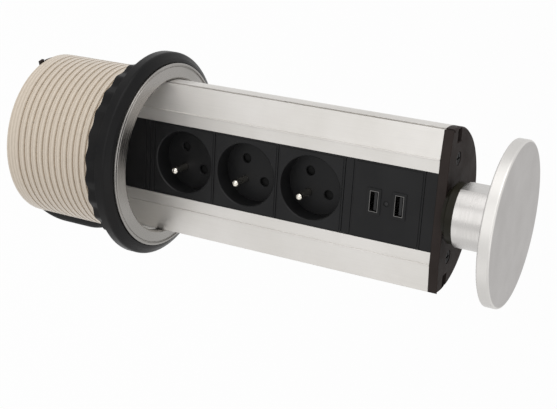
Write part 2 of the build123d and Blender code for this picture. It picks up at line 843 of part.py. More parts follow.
# Collar, trim ring, sleeve and pads.
collar = turned(
    [
        (sleeve_neck_radius, 0), (flange_radius, 0), (flange_radius, flange_rim_height),
        (flange_shoulder_radius + flange_round / 2, flange_shoulder_z - flange_round / 3),
        (flange_shoulder_radius - flange_round / 4, flange_shoulder_z), (seat_radius, flange_shoulder_z),
        (seat_radius, seat_z), (sleeve_bore, seat_z), (sleeve_bore, sleeve_neck_height),
        (sleeve_neck_radius, sleeve_neck_height),
    ]
)
rim = collar.edges().filter_by(GeomType.CIRCLE).filter_by(lambda e: e.radius > flange_radius - lap)
collar = fillet(rim.sort_by(Axis.Z)[-1:], flange_round)
keep("collar_flange", collar)
trim = turned(
    [
        (trim_bore, seat_z), (trim_outer, seat_z), (trim_outer, trim_lip_z - trim_lip_round),
        (trim_outer - trim_lip_round, trim_lip_z), (trim_lip_inner, trim_lip_z),
        (trim_groove_outer, trim_groove_z), (trim_groove_inner, trim_groove_z),
        (trim_groove_inner - trim_lip_round, trim_bevel_low_z), (trim_crown_radius, trim_crown_z),
        (trim_bore, trim_edge_z),
    ]
)
keep("trim_ring", trim)

sleeve = tube(sleeve_crest, sleeve_bore, sleeve_bottom, 0)
sleeve_low_rims = sleeve.edges().filter_by(GeomType.CIRCLE).group_by(Axis.Z)[0]
sleeve = chamfer(sleeve_low_rims.sort_by(SortBy.RADIUS)[-1:], sleeve_chamfer)
sleeve += tube(sleeve_neck_radius, sleeve_bore, -lap, sleeve_neck_height)


def thread(z_low, z_high, play=0.0):
    """The helical groove of the thread, or with some play the ridge that runs in it."""
    root = sleeve_crest - thread_depth + play
    top = sleeve_crest + thread_over + play
    half_root = thread_root_width / 2 - play
    half_top = thread_crest_width / 2 - play
    outline = make_face(
        Polyline((root, -half_root), (top, -half_top), (top, half_top), (root, half_root), close=True)
    )
    path = Pos(0, 0, z_low) * Helix(thread_pitch, z_high - z_low, root)
    return sweep(Pos(0, 0, z_low) * (Plane.XZ * outline), path=path, is_frenet=True)


sleeve -= thread(thread_start, thread_end)
rib_outer = sleeve_bore + rib_height / 2
for low, high in ((-rib_outer, rib_height - sleeve_bore), (sleeve_bore - rib_height, rib_outer)):
    sleeve += block(
        low, high, groove_y - rib_width / 2, groove_y + rib_width / 2, sleeve_bottom, sleeve_neck_height
    )
keep("threaded_sleeve", sleeve)

pads = []
pad_ring = Circle(sleeve_bore) - Circle(sleeve_bore - pad_thickness)
for angle in pad_angles:
    pad = pad_ring & wedge(angle, pad_half_angle, sleeve_bore)
    pads.append(Pos(0, 0, pad_top - pad_height) * extrude(pad, pad_height))
keep("felt_pads", *pads)

# Slip washer and screw collar.
washer_top = -washer_gap
washer_low = washer_top - washer_thickness
keep("slip_washer", tube(washer_outer, washer_bore, washer_low, washer_top))
nut_top = washer_low - nut_gap
nut_low = nut_top - nut_height
lobe_points = []
for k in range(nut_lobe_count):
    lobe_points.append(spread(360 / nut_lobe_count * k, nut_lobe_radius))
    lobe_points.append(spread(360 / nut_lobe_count * (k + 1 / 2), nut_waist_radius))
wave = make_face(Spline(*lobe_points, periodic=True))
nut = Pos(0, 0, nut_low) * extrude(wave - Circle(nut_bore), nut_height)
turn_rise = nut_turns * thread_pitch
ridge_low = nut_top - nut_edge - turn_rise - thread_crest_width
phase = ((ridge_low - thread_start) % thread_pitch) / thread_pitch * 360
nut += Rot(0, 0, phase) * thread(ridge_low, ridge_low + turn_rise, thread_play)
keep("locking_nut", nut)


# Cord.
def corner_radii(points):
    """The radius of each corner: a share of its shorter run over the tangent of half the turn."""
    found = []
    for before, here, after in zip(points, points[1:], points[2:]):
        first, second = here - before, after - here
        half = math.radians(first.get_angle(second)) / 2
        found.append(arc_share * min(first.length, second.length) / math.tan(half))
    return found


def report_tube(name, solid, length):
    """Prints a tube's length and its volume as a share of its section times its length."""
    volume_share = solid.volume / (math.pi * cord_radius**2 * length)
    print(name, "length", round(length, 1), "volume share", round(volume_share, 4))


def tube_along(name, points):
    """A round tube on straight runs and tangent arcs."""
    radii = corner_radii(points)
    path = FilletPolyline(*points, radius=radii)
    solid = sweep(Plane(origin=path @ 0, z_dir=path % 0) * Circle(cord_radius), path=path)
    keep(name, solid)
    print(name, "corner radii", [round(r, 1) for r in radii])
    print(name, "runs", [round((b - a).length, 1) for a, b in zip(points, points[1:])])
    report_tube(name, solid, path.length)
    return path.length


lead_start = Vector(gland_x, gland_y, gland_low)
lead_route = [lead_start + Vector(*p) for p in lead_points]
coil_start = lead_route[-1]
lead_length = tube_along("supply_cord", lead_route)


def biarc(a, a_way, b, b_way):
    """Two tangent arcs from a to b."""
    v, t = b - a, a_way + b_way
    k = 2 * (1 - a_way.dot(b_way))
    vt = v.dot(t)
    d = (math.sqrt(vt * vt + k * v.dot(v)) - vt) / k
    q1, q2 = a + a_way * d, b - b_way * d
    middle = (q1 + q2) / 2
    way = (q2 - q1).normalized()
    return [TangentArc(a, middle, tangent=a_way), TangentArc(middle, b, tangent=way)]


def coil_halves():
    """Each half turn of the coil: its centre in X, its radius, and its Y at both ends."""
    radius, centre, side, layer = coil_first_radius, coil_x, 1, 0
    count = 2 * coil_half_count + 1
    found = []
    for k in range(count):
        climbs = k == coil_half_count
        end_layer = layer + 1 if climbs else layer
        y_low, y_high = coil_y + layer * coil_layer_gap, coil_y + end_layer * coil_layer_gap
        found.append((centre, radius, side, y_low, y_high))
        edge = centre - side * radius
        grows = k >= coil_half_count
        radius += coil_step if grows else -coil_step
        centre = edge + side * radius
        side, layer = -side, end_layer
    return found


def coil_point(half, share):
    """A point on a half turn and the way the cord runs there."""
    centre, radius, side, y_low, y_high = half
    angle = math.pi * share
    ease = (1 - math.cos(angle)) / 2
    slope = (y_high - y_low) * math.sin(angle) / 2
    across, up = side * radius * math.cos(angle), side * radius * math.sin(angle)
    point = Vector(centre + across, y_low + (y_high - y_low) * ease, coil_z + up)
    return point, Vector(-up, slope, across).normalized()


halves = coil_halves()
coil_edges = [Line(coil_start, coil_point(halves[0], 0)[0])]
for half in halves:
    for share in (0, 1 / 2):
        coil_edges += biarc(*coil_point(half, share), *coil_point(half, share + 1 / 2))
coil_finish = coil_point(halves[-1], 1)[0]
tail_start = coil_finish - Vector(0, 0, coil_end_length)
coil_edges.append(Line(coil_finish, tail_start))
coil_wire = Wire([edge.edge() for edge in coil_edges])
coil = sweep(Plane(origin=coil_start, z_dir=(0, 0, 1)) * Circle(cord_radius), path=coil_wire)
keep("supply_cord_coil", coil)
report_tube("supply_cord_coil", coil, coil_wire.length)
samples = [coil_point(half, k / coil_sample_count)[0] for half in halves for k in range(coil_sample_count)]
near = min(
    (a - b).length for i, a in enumerate(samples) for b in samples[i + coil_sample_count // 2:]
)
print("supply_cord_coil least gap to itself", round(near - 2 * cord_radius, 2))

tail_route = [tail_start + Vector(*p) for p in tail_points]
tail_length = tube_along("supply_cord_tail", tail_route)
print("whole cord outside the gland", round(lead_length + coil_wire.length + tail_length))

# Tie round all turns at the coil's top.
tie_high = coil_z + coil_first_radius + cord_radius + tie_play
tie_low = coil_z + coil_first_radius - coil_half_count * coil_step - cord_radius - tie_play
tie_front = coil_y - cord_radius - tie_play
tie_back = coil_y + coil_layer_gap + cord_radius + tie_play
tie = block(
    coil_x - tie_width / 2, coil_x + tie_width / 2, tie_front - tie_thickness, tie_back + tie_thickness,
    tie_low - tie_thickness, tie_high + tie_thickness,
) - block(coil_x - tie_width, coil_x + tie_width, tie_front, tie_back, tie_low, tie_high)
head_x, head_y, head_z = tie_head
head_middle_y = tie_back + tie_thickness - lap + head_y / 2
tie += Pos(coil_x, head_middle_y, (tie_low + tie_high) / 2) * Box(head_x, head_y, head_z)
keep("cord_tie", tie)

# Plug: a round body whose pins point along +Y, with a ribbed boot on the side where the cord enters.
boot_end = tail_route[-1]
plug_x = boot_end.X + plug_boot_length + plug_radius - past
plug_z = boot_end.Z
plug_front_y = boot_end.Y + plug_boot_from_front
plug_back_y = plug_front_y - plug_thickness
body = y_rod(plug_radius, plug_back_y, plug_front_y - plug_front_step, plug_x, plug_z)
body = fillet(body.edges().filter_by(GeomType.CIRCLE).group_by(Axis.Y)[0], plug_round)
body += y_rod(plug_front_step_radius, plug_front_y - plug_front_step - lap, plug_front_y, plug_x, plug_z)
boot = Cone(plug_boot_tip, plug_boot_root, plug_boot_length + plug_radius / 2, align=LOW)
for k in range(plug_boot_ring_count):
    along = plug_boot_first_ring + k * plug_ring_pitch
    here = plug_boot_tip + (plug_boot_root - plug_boot_tip) * along / plug_boot_length
    ring = Cylinder(plug_boot_root + past, plug_ring_width, align=LOW)
    boot -= Pos(0, 0, along) * (ring - Cylinder(here - plug_ring_depth, plug_ring_width, align=LOW))
body += Plane(origin=boot_end, x_dir=(0, 1, 0), z_dir=(1, 0, 0)) * boot
pin_places = [(plug_x, plug_z + s * plug_pin_spacing / 2) for s in (-1, 1)]
for x, z in pin_places:
    body -= y_rod(plug_pin_root_radius, plug_front_y - plug_pin_root, plug_front_y + past, x, z)
earth_hole_y = plug_front_y - plug_earth_depth
body -= y_rod(plug_earth_radius, earth_hole_y, plug_front_y + past, plug_x + earth_offset, plug_z)
clips = []
clip_y = plug_front_y - plug_clip_length
clip_low, clip_high = plug_z - plug_clip_width / 2, plug_z + plug_clip_width / 2
clip_seat = plug_front_step_radius - plug_clip_thickness
for s in (-1, 1):
    low, high = sorted((plug_x + s * clip_seat, plug_x + s * (plug_radius + past)))
    body -= block(low, high, clip_y, plug_front_y + past, clip_low, clip_high)
    low, high = sorted((plug_x + s * clip_seat, plug_x + s * plug_front_step_radius))
    clips.append(block(low, high, clip_y, plug_front_y - plug_clip_thickness, clip_low, clip_high))
keep("plug_body", body)
keep("plug_earth_clips", *clips)
pins = []
nose_y = plug_front_y + plug_pin_length - plug_pin_nose
for x, z in pin_places:
    pin = y_rod(plug_pin_root_radius, plug_front_y - plug_pin_root, plug_front_y + plug_pin_step, x, z)
    pin += y_rod(plug_pin_radius, plug_front_y + plug_pin_step, nose_y, x, z)
    pins.append(pin + y_cone(plug_pin_radius, plug_pin_tip_radius, nose_y, plug_pin_nose, x, z))
keep("plug_pins", *pins)

os.makedirs("parts", exist_ok=True)
for name, shape in parts.items():
    export_step(shape, f"parts/{name}.step")
print(len(parts), "nodes, travel until the disc is flush", round(disc_top - trim_crown_z, 2))
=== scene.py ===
"""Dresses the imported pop-up desk socket: finishes for every piece, a soft cord and a plain studio."""

import json
import logging
import math
from dataclasses import dataclass
from enum import Enum

import bmesh
import bpy
from mathutils import Matrix, Vector

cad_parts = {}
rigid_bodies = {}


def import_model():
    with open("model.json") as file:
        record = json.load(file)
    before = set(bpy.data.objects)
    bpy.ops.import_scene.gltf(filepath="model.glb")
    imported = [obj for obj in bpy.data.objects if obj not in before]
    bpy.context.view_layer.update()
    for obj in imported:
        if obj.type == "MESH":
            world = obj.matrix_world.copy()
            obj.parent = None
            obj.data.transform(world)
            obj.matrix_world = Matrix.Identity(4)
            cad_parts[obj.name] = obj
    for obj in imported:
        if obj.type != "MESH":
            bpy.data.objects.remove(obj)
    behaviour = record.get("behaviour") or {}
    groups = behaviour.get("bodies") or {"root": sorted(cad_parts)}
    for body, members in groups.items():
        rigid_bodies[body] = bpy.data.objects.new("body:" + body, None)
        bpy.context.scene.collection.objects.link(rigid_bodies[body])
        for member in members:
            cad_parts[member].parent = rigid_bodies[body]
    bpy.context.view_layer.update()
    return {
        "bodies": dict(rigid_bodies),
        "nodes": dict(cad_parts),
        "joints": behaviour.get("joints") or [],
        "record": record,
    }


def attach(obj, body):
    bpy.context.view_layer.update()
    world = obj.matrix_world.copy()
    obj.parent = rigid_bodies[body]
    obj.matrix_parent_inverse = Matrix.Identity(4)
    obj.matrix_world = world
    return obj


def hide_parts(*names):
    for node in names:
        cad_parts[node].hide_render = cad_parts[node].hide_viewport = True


log = logging.getLogger("desk_socket")

MM = 0.001
EDGE_SAMPLES = 4
Colour = tuple[float, float, float]
Point = tuple[float, float, float]
Socket = bpy.types.NodeSocket


class Grain(Enum):
    """How the fine lines of a metal finish run."""

    ALONG = "along the tower"
    ROUND = "round the tower's axis"
    BLASTED = "no direction"


@dataclass(frozen=True)
class Patches:
    """A noise, and the part of its range over which a finish changes."""

    scale: float
    detail: float
    start: float
    end: float


class Recipe:
    """A material's node tree, filled node by node."""

    def __init__(self, name: str) -> None:
        """Starts a material with an output and a principled shader.

        Args:
            name: The material's name.
        """
        self.material = bpy.data.materials.new(name)
        self.material.use_nodes = True
        self.tree = self.material.node_tree
        self.tree.nodes.clear()
        self.output = self.tree.nodes.new("ShaderNodeOutputMaterial")
        self.shader = self.tree.nodes.new("ShaderNodeBsdfPrincipled")
        self.tree.links.new(self.shader.outputs["BSDF"], self.output.inputs["Surface"])
        self.place = self.tree.nodes.new("ShaderNodeTexCoord").outputs["Object"]

    def constants(self, **values: float) -> None:
        """Sets numbers straight on the shader's sockets, underscores standing for spaces."""
        for name, value in values.items():
            self.shader.inputs[name.replace("_", " ")].default_value = value

    def node(self, kind: str, settings: dict[str, object] | None = None, **inputs: object) -> bpy.types.Node:
        """Adds a node.

        Args:
            kind: The node's type without its prefix, such as "TexNoise".
            settings: Properties of the node itself.
            inputs: Values or sockets for its inputs, underscores standing for spaces. A name such as
                in0 means an input by its number.

        Returns:
            The node.
        """
        made = self.tree.nodes.new("ShaderNode" + kind)
        for name, value in (settings or {}).items():
            setattr(made, name, value)
        for name, value in inputs.items():
            key = int(name[2:]) if name[:2] == "in" and name[2:].isdigit() else name.replace("_", " ")
            if isinstance(value, Socket):
                self.tree.links.new(value, made.inputs[key])
            else:
                made.inputs[key].default_value = value
        return made

    def math(self, operation: str, *values: float | Socket) -> Socket:
        """Adds a sum of one or two values and returns its result."""
        inputs = {f"in{k}": value for k, value in enumerate(values)}
        return self.node("Math", {"operation": operation}, **inputs).outputs[0]

    def axes(self) -> list[Socket]:
        """The place's X, Y and Z in metres."""
        return list(self.node("SeparateXYZ", Vector=self.place).outputs)

    def radius(self) -> Socket:
        """The distance from the tower's axis in metres."""
        x, y, _ = self.axes()
        across = self.node("CombineXYZ", X=x, Y=y).outputs[0]
        return self.node("VectorMath", {"operation": "LENGTH"}, in0=across).outputs["Value"]

    def noise(self, scale: float, detail: float, stretch: Point = (1, 1, 1)) -> Socket:
        """Adds a noise in the object's own space.

        Args:
            scale: Grains per metre.
            detail: Octaves.
            stretch: Scale of each axis, below 1 for long grains.

        Returns:
            The noise's value, 0 to 1.
        """
        turned = self.node("Mapping", Vector=self.place, Scale=stretch)
        return self.noise_at(turned.outputs[0], scale, detail)

    def noise_at(self, place: Socket, scale: float, detail: float) -> Socket:
        """Adds a noise in a space of its own and returns its value, 0 to 1."""
        return self.node("TexNoise", Vector=place, Scale=scale, Detail=detail).outputs[0]

    def ramp(self, value: Socket, low: float, high: float, start: float = 0.0, end: float = 1.0) -> Socket:
        """Maps a value from start..end to low..high, held at the ends."""
        return self.node("MapRange", in0=value, in1=start, in2=end, in3=low, in4=high).outputs[0]

    def patches(self, kind: Patches, low: float = 0.0, high: float = 1.0) -> Socket:
        """Adds a noise that goes from low to high in soft patches."""
        return self.ramp(self.noise(kind.scale, kind.detail), low, high, kind.start, kind.end)

    def mix(self, share: Socket, one: Colour | Socket, other: Colour | Socket) -> Socket:
        """Mixes two colours.

        Args:
            share: How much of the second.
            one: The first colour or socket.
            other: The second colour or socket.

        Returns:
            The mixed colour.
        """
        made = self.tree.nodes.new("ShaderNodeMix")
        made.data_type = "RGBA"
        share_input, one_input, other_input, colour_output = 0, 6, 7, 2
        self.tree.links.new(share, made.inputs[share_input])
        for number, value in ((one_input, one), (other_input, other)):
            if isinstance(value, Socket):
                self.tree.links.new(value, made.inputs[number])
            else:
                made.inputs[number].default_value = (*value, 1)
        return made.outputs[colour_output]

    def set(self, name: str, value: Socket) -> None:
        """Links a socket to one of the shader's inputs."""
        self.tree.links.new(value, self.shader.inputs[name])

    def relief(self, height: Socket, depth: float, edge: float = 0.0) -> None:
        """Gives the surface a fine relief and softened edges.

        Args:
            height: The relief, 0 to 1.
            depth: Its depth in metres.
            edge: The radius of the softened edges in metres, or 0 for none.
        """
        bump = self.node("Bump", Height=height, Distance=depth, Strength=1.0)
        if edge:
            soft = self.node("Bevel", {"samples": EDGE_SAMPLES}, Radius=edge)
            self.tree.links.new(soft.outputs[0], bump.inputs["Normal"])
        self.set("Normal", bump.outputs[0])


@dataclass(frozen=True)
class Metal:
    """A metal finish with fine lines, and a painted highlight on its outer edge where it has one."""

    name: str
    colour: Colour
    shade: Colour
    roughness: float
    grain: Grain
    grain_depth: float = 0.000004
    edge: float = 0.0003
    rim_highlight: Colour | None = None
    rim_highlight_radius: float = 0.0476
    rim_highlight_blur: float = 0.0006
    drift: Patches = Patches(28, 4, 0.35, 0.68)
    smudges: Patches = Patches(70, 5, 0.3, 0.7)
    smudge_low: float = -0.03
    smudge_high: float = 0.04
    line_swing: float = 0.06
    line_start: float = 0.3
    line_end: float = 0.7
    line_detail: float = 2
    long_scale: float = 2600
    long_stretch: Point = (1, 1, 0.012)
    blasted_scale: float = 3200
    round_scale: float = 2400

    def make(self) -> bpy.types.Material:
        """Builds the material: colour drift, painted edge highlight, lines in the roughness and a shallow
        relief.

        Returns:
            The material.
        """
        recipe = Recipe(self.name)
        recipe.constants(Metallic=1.0)
        tint = recipe.mix(recipe.patches(self.drift), self.colour, self.shade)
        # Painted highlight: beyond a radius the outer edge is painted a lighter colour, standing in for the
        # light it catches.
        if self.rim_highlight:
            share = recipe.ramp(recipe.radius(), 0, 1, self.rim_highlight_radius, self.rim_highlight_radius + self.rim_highlight_blur)
            tint = recipe.mix(share, tint, self.rim_highlight)
        recipe.set("Base Color", tint)
        lines = self._lines(recipe)
        low, high = self.roughness - self.line_swing, self.roughness + self.line_swing
        spread = recipe.ramp(lines, low, high, self.line_start, self.line_end)
        smudge = recipe.patches(self.smudges, self.smudge_low, self.smudge_high)
        recipe.set("Roughness", recipe.math("ADD", spread, smudge))
        recipe.relief(lines, self.grain_depth, self.edge)
        return recipe.material

    def _lines(self, recipe: Recipe) -> Socket:
        """The finish's fine lines.

        Args:
            recipe: The material that they are for.

        Returns:
            A value from 0 to 1.
        """
        if self.grain is Grain.ALONG:
            return recipe.noise(self.long_scale, self.line_detail, self.long_stretch)
        if self.grain is Grain.BLASTED:
            return recipe.noise(self.blasted_scale, self.line_detail)
        height = recipe.axes()[2]
        ring = recipe.node("CombineXYZ", X=recipe.radius(), Z=height).outputs[0]
        return recipe.noise_at(ring, self.round_scale, self.line_detail)


@dataclass(frozen=True)
class Plastic:
    """A moulded plastic with a fine grain, and, where it has one, painted shade: another colour above a
    height.
    """

    name: str
    colour: Colour
    shade: Colour
    roughness: float
    grain_scale: float = 1500.0
    grain_depth: float = 0.00003
    grain_detail: float = 3
    edge: float = 0.0003
    shine: float = 0.2
    top: Colour | None = None
    shaded_top_height: float = 0.0
    shaded_top_blur: float = 0.0002
    clouds: Patches = Patches(45, 4, 0.35, 0.65)
    rubbed: Patches = Patches(90, 5, 0.3, 0.7)
    rubbed_low: float = -0.05
    rubbed_high: float = 0.06
    grain_swing: float = 0.05
    grain_start: float = 0.3
    grain_end: float = 0.7

    def make(self) -> bpy.types.Material:
        """Builds the material: cloudy colour, painted shade above a height, a moulded grain and rubbed
        places.

        Returns:
            The material.
        """
        recipe = Recipe(self.name)
        recipe.constants(Metallic=0.0, Specular_IOR_Level=self.shine)
        tint = recipe.mix(recipe.patches(self.clouds), self.colour, self.shade)
        # Painted shade: above the height the colour turns a little darker and warmer.
        if self.top:
            height = recipe.axes()[2]
            share = recipe.ramp(height, 0, 1, self.shaded_top_height - self.shaded_top_blur, self.shaded_top_height)
            tint = recipe.mix(share, tint, self.top)
        recipe.set("Base Color", tint)
        grain = recipe.noise(self.grain_scale, self.grain_detail)
        low, high = self.roughness - self.grain_swing, self.roughness + self.grain_swing
        spread = recipe.ramp(grain, low, high, self.grain_start, self.grain_end)
        worn = recipe.patches(self.rubbed, self.rubbed_low, self.rubbed_high)
        recipe.set("Roughness", recipe.math("ADD", spread, worn))
        recipe.relief(grain, self.grain_depth, self.edge)
        return recipe.material


@dataclass(frozen=True)
class Threaded:
    """The sleeve's pale plastic, with fine lines that follow its thread: painted shade along the grooves
    with lighter painted highlight between.
    """

    name: str
    colour: Colour
    line: Colour
    inside: Colour
    pitch: float
    lines: int = 2
    line_share: float = 0.6
    line_depth: float = 0.00006
    inside_radius: float = 0.0512
    streak_turns: float = 9.0
    streak_scale: float = 9.0
    streak_detail: float = 4
    streak_start: float = 0.35
    streak_end: float = 0.7
    streak_share: float = 0.4
    smooth: float = 0.32
    rough: float = 0.48
    coat: float = 0.2
    coat_roughness: float = 0.3

    def make(self) -> bpy.types.Material:
        """Builds the material: painted groove shade and highlight lines and streaks on a helix outside, and
        one plain colour inside.

        Returns:
            The material.
        """
        recipe = Recipe(self.name)
        recipe.constants(Metallic=0.0, Coat_Weight=self.coat, Coat_Roughness=self.coat_roughness)
        x, y, z = recipe.axes()
        turns = recipe.math("DIVIDE", recipe.math("ARCTAN2", y, x), math.tau)
        phase = recipe.math("SUBTRACT", recipe.math("DIVIDE", z, self.pitch), turns)
        # Painted shade and highlight: dark lines along the thread's grooves and lighter ones between, also
        # used as the relief.
        ripple = recipe.math("SINE", recipe.math("MULTIPLY", phase, self.lines * math.tau))
        fine = recipe.ramp(ripple, 0, 1, -1, 1)
        along = recipe.node("CombineXYZ", X=phase, Y=recipe.math("MULTIPLY", turns, self.streak_turns))
        streak = recipe.noise_at(along.outputs[0], self.streak_scale, self.streak_detail)
        streaks = recipe.ramp(streak, 0, 1, self.streak_start, self.streak_end)
        tint = recipe.mix(recipe.math("MULTIPLY", fine, self.line_share), self.colour, self.line)
        tint = recipe.mix(recipe.math("MULTIPLY", streaks, self.streak_share), tint, self.line)
        outer = recipe.math("GREATER_THAN", recipe.radius(), self.inside_radius)
        recipe.set("Base Color", recipe.mix(outer, self.inside, tint))
        recipe.set("Roughness", recipe.ramp(streaks, self.smooth, self.rough))
        recipe.relief(fine, self.line_depth)
        return recipe.material


@dataclass(frozen=True)
class Fuzz:
    """Felt: a matt cloth with short hairs."""

    name: str
    colour: Colour
    shade: Colour
    roughness: float = 0.95
    sheen: float = 0.4
    hair_scale: float = 2200
    hair_detail: float = 5
    hair_start: float = 0.4
    hair_end: float = 0.62
    hair_depth: float = 0.0002

    def make(self) -> bpy.types.Material:
        """Builds the material: matted hairs in colour and relief.

        Returns:
            The material.
        """
        recipe = Recipe(self.name)
        recipe.constants(Metallic=0.0, Roughness=self.roughness, Sheen_Weight=self.sheen)
        hairs = recipe.noise(self.hair_scale, self.hair_detail)
        share = recipe.ramp(hairs, 0, 1, self.hair_start, self.hair_end)
        recipe.set("Base Color", recipe.mix(share, self.colour, self.shade))
        recipe.relief(hairs, self.hair_depth)
        return recipe.material


Finish = Metal | Plastic | Threaded | Fuzz


@dataclass(frozen=True)
class Finishes:
    """Every finish of the object."""

    extrusion: Metal = Metal(
        "satin extrusion", (0.69, 0.67, 0.645), (0.64, 0.62, 0.59), roughness=0.48, grain=Grain.ALONG,
    )
    # The disc's outer edge is painted lighter than its face: a painted highlight.
    disc: Metal = Metal(
        "turned disc", (0.40, 0.385, 0.375), (0.37, 0.355, 0.345), roughness=0.42, grain=Grain.BLASTED,
        rim_highlight=(0.62, 0.605, 0.585),
    )
    neck: Metal = Metal(
        "turned neck", (0.58, 0.565, 0.55), (0.52, 0.505, 0.49), roughness=0.30, grain=Grain.ROUND,
        grain_depth=0.00001,
    )
    ring: Metal = Metal(
        "turned ring", (0.32, 0.305, 0.29), (0.27, 0.26, 0.245), roughness=0.28, grain=Grain.ROUND,
        grain_depth=0.00001,
    )
    nickel: Metal = Metal(
        "nickel", (0.80, 0.79, 0.77), (0.66, 0.65, 0.63), roughness=0.16, grain=Grain.BLASTED,
        grain_depth=0.000002, edge=0.0001,
    )
    shell: Metal = Metal(
        "port shell steel", (0.24, 0.235, 0.23), (0.14, 0.135, 0.13), roughness=0.2, grain=Grain.BLASTED,
        grain_depth=0.000002, edge=0.0001,
    )
    pin: Metal = Metal(
        "plated pin", (0.74, 0.72, 0.67), (0.56, 0.52, 0.44), roughness=0.22, grain=Grain.BLASTED,
        grain_depth=0.000002, edge=0.0002,
    )
    zinc: Metal = Metal(
        "zinc plate", (0.58, 0.59, 0.62), (0.45, 0.46, 0.49), roughness=0.34, grain=Grain.BLASTED,
    )
    brass: Metal = Metal(
        "stamped brass", (0.75, 0.56, 0.25), (0.55, 0.38, 0.16), roughness=0.3, grain=Grain.ALONG,
    )
    oxide: Plastic = Plastic(
        "black oxide coat", (0.011, 0.010, 0.010), (0.007, 0.007, 0.007), roughness=0.4,
        grain_depth=0.000002, shine=0.04,
    )
    module: Plastic = Plastic(
        "module plastic", (0.007, 0.007, 0.0075), (0.011, 0.011, 0.0115), roughness=0.46,
        grain_scale=1300, grain_depth=0.00004,
    )
    # The top cap's face is painted a little darker and warmer, as shade under the knob's disc.
    cap: Plastic = Plastic(
        "cap plastic", (0.031, 0.025, 0.023), (0.038, 0.031, 0.029), roughness=0.5, shine=0.025,
        top=(0.031, 0.023, 0.0205), shaded_top_height=0.2036,
    )
    collar: Plastic = Plastic(
        "collar plastic", (0.007, 0.007, 0.0075), (0.011, 0.0105, 0.0105), roughness=0.36,
        grain_scale=1200, shine=0.11,
    )
    boss: Plastic = Plastic(
        "boss plastic", (0.010, 0.009, 0.006), (0.018, 0.016, 0.010), roughness=0.34, shine=0.12,
    )
    shutter: Plastic = Plastic(
        "shutter plastic", (0.008, 0.008, 0.008), (0.012, 0.012, 0.012), roughness=0.6, shine=0.1,
    )
    block: Plastic = Plastic("block plastic", (0.25, 0.25, 0.26), (0.20, 0.20, 0.21), roughness=0.5)
    tongue: Plastic = Plastic("tongue plastic", (0.02, 0.02, 0.021), (0.03, 0.03, 0.03), roughness=0.45)
    board: Plastic = Plastic("circuit board", (0.03, 0.16, 0.07), (0.02, 0.11, 0.05), roughness=0.35)
    rubber: Plastic = Plastic(
        "cord rubber", (0.010, 0.010, 0.010), (0.016, 0.016, 0.016), roughness=0.55,
        grain_scale=2200, grain_depth=0.00004,
    )
    # The sleeve's thread lines are painted shade along the grooves, with lighter painted highlight between.
    sleeve: Threaded = Threaded(
        "sleeve plastic", (0.67, 0.585, 0.49), (0.44, 0.37, 0.285), inside=(0.74, 0.73, 0.71), pitch=0.0048,
    )
    felt: Fuzz = Fuzz("felt", (0.05, 0.05, 0.05), (0.10, 0.10, 0.10))


class Wardrobe:
    """Makes each finish once and puts it on pieces."""

    def __init__(self, frame: dict) -> None:
        """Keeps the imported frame's nodes and an empty store of materials.
        """
        self.nodes = frame["nodes"]
        self.made: dict[str, bpy.types.Material] = {}

    def material(self, finish: Finish) -> bpy.types.Material:
        """The material of a finish, made at its first use.

        Args:
            finish: The finish.

        Returns:
            Its material.
        """
        if finish.name not in self.made:
            self.made[finish.name] = finish.make()
        return self.made[finish.name]

    def paint(self, piece: bpy.types.Object, finish: Finish) -> None:
        """Puts a finish on a whole piece."""
        piece.data.materials.clear()
        piece.data.materials.append(self.material(finish))

    def dress(self, finish: Finish, *names: str) -> None:
        """Puts a finish on CAD nodes by their names.

        Args:
            finish: The finish.
            names: The nodes.
        """
        for name in names:
            node = self.nodes[name]
            for number in range(max(1, len(node.material_slots))):
                if number >= len(node.material_slots):
                    node.data.materials.append(None)
                node.material_slots[number].link = "OBJECT"
                node.material_slots[number].material = self.material(finish)
            log.info("%s: %s", name, finish.name)


@dataclass
class DeskMounting:
    """Flange, trim ring, sleeve, washer and screw collar."""

    def dress(self, wardrobe: Wardrobe, finishes: Finishes) -> None:
        """Puts the finishes on.

        Args:
            wardrobe: Puts them on nodes.
            finishes: The finishes.
        """
        wardrobe.dress(finishes.collar, "collar_flange", "slip_washer", "locking_nut")
        wardrobe.dress(finishes.ring, "trim_ring")
        wardrobe.dress(finishes.sleeve, "threaded_sleeve")
        wardrobe.dress(finishes.felt, "felt_pads")


@dataclass
class Tower:
    """The aluminium tower with its caps, covers, bars and inlet block."""

    def dress(self, wardrobe: Wardrobe, finishes: Finishes) -> None:
        """Puts the finishes on.

        Args:
            wardrobe: Puts them on nodes.
            finishes: The finishes.
        """
        wardrobe.dress(finishes.extrusion, "tower_profile")
        wardrobe.dress(finishes.cap, "top_cap", "bottom_cap")
        wardrobe.dress(finishes.module, "lower_strip_cover", "middle_strip_cover", "upper_strip_cover")
        wardrobe.dress(finishes.oxide, "top_cap_screws")
        wardrobe.dress(finishes.zinc, "bottom_cap_screws")
        wardrobe.dress(finishes.brass, "live_bar", "neutral_bar", "earth_bar")
        wardrobe.dress(finishes.block, "inlet_block")


@dataclass
class EarthedSocket:
    """One socket module."""

    number: int

    def dress(self, wardrobe: Wardrobe, finishes: Finishes) -> None:
        """Puts the finishes on.

        Args:
            wardrobe: Puts them on nodes.
            finishes: The finishes.
        """
        own = f"socket_{self.number}_"
        wardrobe.dress(finishes.module, own + "front", own + "base")
        wardrobe.dress(finishes.pin, own + "earth_pin")
        wardrobe.dress(finishes.shutter, own + "shutter")
        wardrobe.dress(finishes.brass, own + "contacts")


